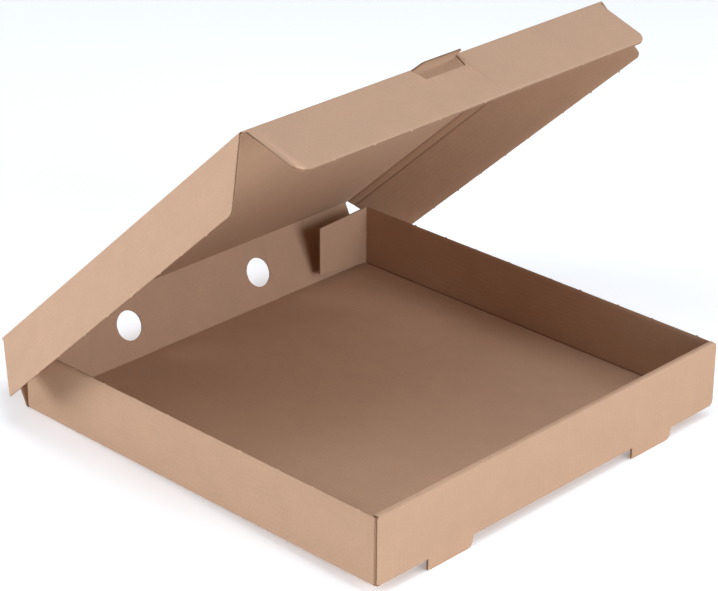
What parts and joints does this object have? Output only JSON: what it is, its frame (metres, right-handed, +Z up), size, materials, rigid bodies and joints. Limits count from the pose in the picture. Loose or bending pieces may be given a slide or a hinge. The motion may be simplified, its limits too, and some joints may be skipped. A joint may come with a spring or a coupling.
{
  "type": "pizza box",
  "caption": "Square shallow corrugated cardboard pizza box with a hinged lid half open, tuck-in lid flaps, rolled double front wall, vent holes and small feet.",
  "frame": {"origin": "centre of the tray floor's underside", "axes": "+X to the right along the front wall, +Y from the front to the hinged back wall, +Z up out of the tray"},
  "size_m": [0.3506, 0.3249, 0.2556],
  "materials": {
    "kraft_board": "matt brown kraft liner over fine corrugated board"
  },
  "bodies": {
    "tray": {"tray": "kraft_board"},
    "back_wall": {"back_wall": "kraft_board"},
    "lid": {"lid": "kraft_board"},
    "lid_front_flap": {"lid_front_flap": "kraft_board"},
    "lid_left_flap": {"lid_left_flap": "kraft_board"},
    "lid_right_flap": {"lid_right_flap": "kraft_board"},
    "rear_left_flap": {"rear_left_flap": "kraft_board"},
    "rear_right_flap": {"rear_right_flap": "kraft_board"}
  },
  "joints": [
    {"name": "back_wall_fold", "type": "hinge", "parent": "tray", "child": "back_wall", "pos_m": [0, 0.151, 0.0015], "axis": [-1, 0, 0], "range_deg": [-27, 63]},
    {"name": "lid_hinge", "type": "hinge", "parent": "back_wall", "child": "lid", "pos_m": [0, 0.17088, 0.04053], "axis": [-1, 0, 0], "range_deg": [-15.4, 74.6]},
    {"name": "lid_front_flap_fold", "type": "hinge", "parent": "lid", "child": "lid_front_flap", "pos_m": [0, -0.04844, 0.24079], "axis": [-1, 0, 0], "range_deg": [-30, 60]},
    {"name": "lid_left_flap_fold", "type": "hinge", "parent": "lid", "child": "lid_left_flap", "pos_m": [-0.1528, 0.05938, 0.14235], "axis": [0, 0.7385, -0.6743], "range_deg": [-30, 60]},
    {"name": "lid_right_flap_fold", "type": "hinge", "parent": "lid", "child": "lid_right_flap", "pos_m": [0.1528, 0.05938, 0.14235], "axis": [0, -0.7385, 0.6743], "range_deg": [-30, 60]},
    {"name": "rear_left_flap_fold", "type": "hinge", "parent": "tray", "child": "rear_left_flap", "pos_m": [-0.151, 0.1492, 0], "axis": [0, 0, -1], "range_deg": [-1, 75]},
    {"name": "rear_right_flap_fold", "type": "hinge", "parent": "tray", "child": "rear_right_flap", "pos_m": [0.151, 0.1492, 0], "axis": [0, 0, 1], "range_deg": [-4, 75]}
  ]
}
